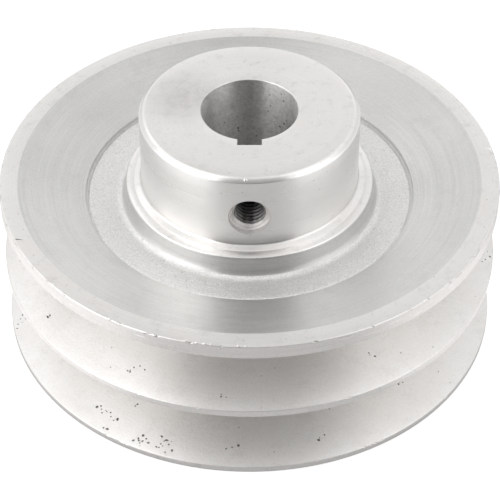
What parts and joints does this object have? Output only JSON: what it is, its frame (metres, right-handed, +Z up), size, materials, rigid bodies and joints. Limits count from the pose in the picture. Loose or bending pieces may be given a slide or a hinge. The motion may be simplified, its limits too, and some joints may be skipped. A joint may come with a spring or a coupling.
{
  "type": "v belt pulley",
  "caption": "Cast V belt pulley with grooves round its rim, a raised hub with a keyed through bore, and a set screw in a radial tapped hole.",
  "frame": {"origin": "on the bore axis at the resting face under the rim", "axes": "+Z up along the bore towards the raised hub; the keyway and the set screw are on the -Y side"},
  "size_m": [0.1, 0.1, 0.05],
  "materials": {
    "cast_aluminium": "turned, with sandy as-cast skin in the grooves and round the hub's foot",
    "black_steel": "black oxide, satin"
  },
  "bodies": {
    "pulley": {"casting": "cast_aluminium"},
    "screw": {"set_screw": "black_steel"}
  },
  "joints": [
    {"name": "screw_travel", "type": "slide", "parent": "pulley", "child": "screw", "axis": [0, -1, 0], "range_m": [-0.001, 0.012]}
  ]
}
